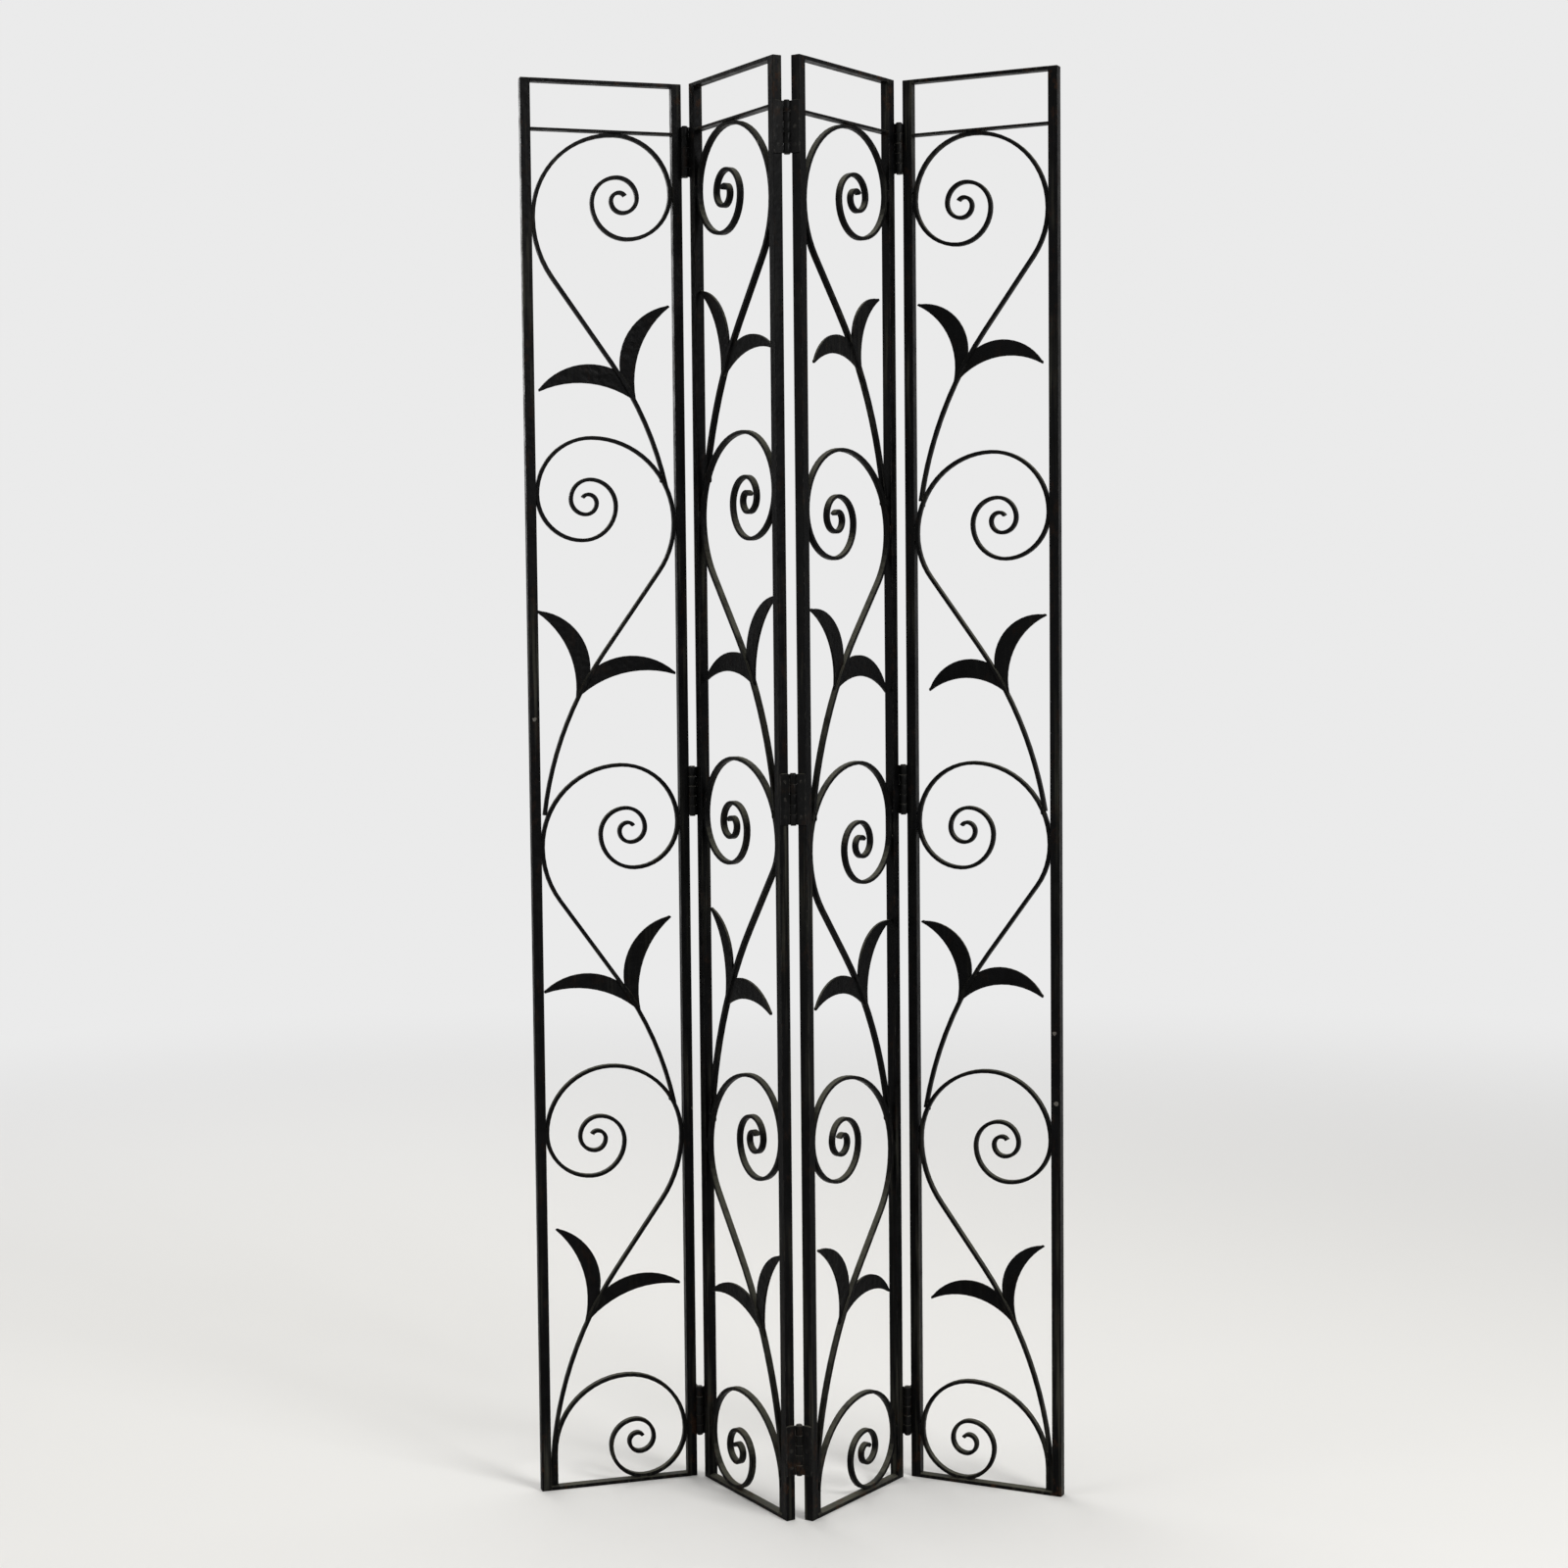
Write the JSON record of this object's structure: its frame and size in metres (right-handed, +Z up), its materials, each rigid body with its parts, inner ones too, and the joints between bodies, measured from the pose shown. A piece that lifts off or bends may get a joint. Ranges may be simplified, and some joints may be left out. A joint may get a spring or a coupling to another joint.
{
  "type": "wrought iron folding screen",
  "caption": "Black wrought iron folding screen with hinged panels of scrolls and leaves.",
  "frame": {"origin": "on the floor, under the middle of the screen's overall size as it stands", "axes": "+Z up, -Y to the front, +X to the right seen from the front"},
  "size_m": [0.6856, 0.2, 1.829],
  "materials": {
    "black_iron": "satin",
    "hinge_black": "satin"
  },
  "bodies": {
    "panel_1": {"hinge_1_2_leaves_on_panel_1": "hinge_black", "hinge_1_2_pins_on_panel_1": "hinge_black", "panel_1_cross_rail": "black_iron", "panel_1_foot_rail": "black_iron", "panel_1_leaves": "black_iron", "panel_1_left_stile": "black_iron", "panel_1_right_stile": "black_iron", "panel_1_scrolls_eye_left": "black_iron", "panel_1_scrolls_eye_right": "black_iron", "panel_1_top_rail": "black_iron"},
    "panel_2": {"hinge_1_2_leaves_on_panel_2": "hinge_black", "hinge_1_2_pins_on_panel_2": "hinge_black", "hinge_2_3_leaves_on_panel_2": "hinge_black", "hinge_2_3_pins_on_panel_2": "hinge_black", "panel_2_cross_rail": "black_iron", "panel_2_foot_rail": "black_iron", "panel_2_leaves": "black_iron", "panel_2_left_stile": "black_iron", "panel_2_right_stile": "black_iron", "panel_2_scrolls_eye_left": "black_iron", "panel_2_scrolls_eye_right": "black_iron", "panel_2_top_rail": "black_iron"},
    "panel_3": {"hinge_2_3_leaves_on_panel_3": "hinge_black", "hinge_2_3_pins_on_panel_3": "hinge_black", "hinge_3_4_leaves_on_panel_3": "hinge_black", "hinge_3_4_pins_on_panel_3": "hinge_black", "panel_3_cross_rail": "black_iron", "panel_3_foot_rail": "black_iron", "panel_3_leaves": "black_iron", "panel_3_left_stile": "black_iron", "panel_3_right_stile": "black_iron", "panel_3_scrolls_eye_left": "black_iron", "panel_3_scrolls_eye_right": "black_iron", "panel_3_top_rail": "black_iron"},
    "panel_4": {"hinge_3_4_leaves_on_panel_4": "hinge_black", "hinge_3_4_pins_on_panel_4": "hinge_black", "panel_4_cross_rail": "black_iron", "panel_4_foot_rail": "black_iron", "panel_4_leaves": "black_iron", "panel_4_left_stile": "black_iron", "panel_4_right_stile": "black_iron", "panel_4_scrolls_eye_left": "black_iron", "panel_4_scrolls_eye_right": "black_iron", "panel_4_top_rail": "black_iron"}
  },
  "joints": [
    {"name": "fold_1_2", "type": "hinge", "parent": "panel_2", "child": "panel_1", "pos_m": [-0.13341, 0.08309, 0.916], "axis": [0, 0, 1], "range_deg": [-75.5, 104.5]},
    {"name": "fold_2_3", "type": "hinge", "parent": "panel_2", "child": "panel_3", "pos_m": [-0.00196, -0.08994, 0.916], "axis": [0, 0, 1], "range_deg": [-113.1, 66.9]},
    {"name": "fold_3_4", "type": "hinge", "parent": "panel_3", "child": "panel_4", "pos_m": [0.14265, 0.07224, 0.916], "axis": [0, 0, 1], "range_deg": [-100.2, 79.8]}
  ]
}
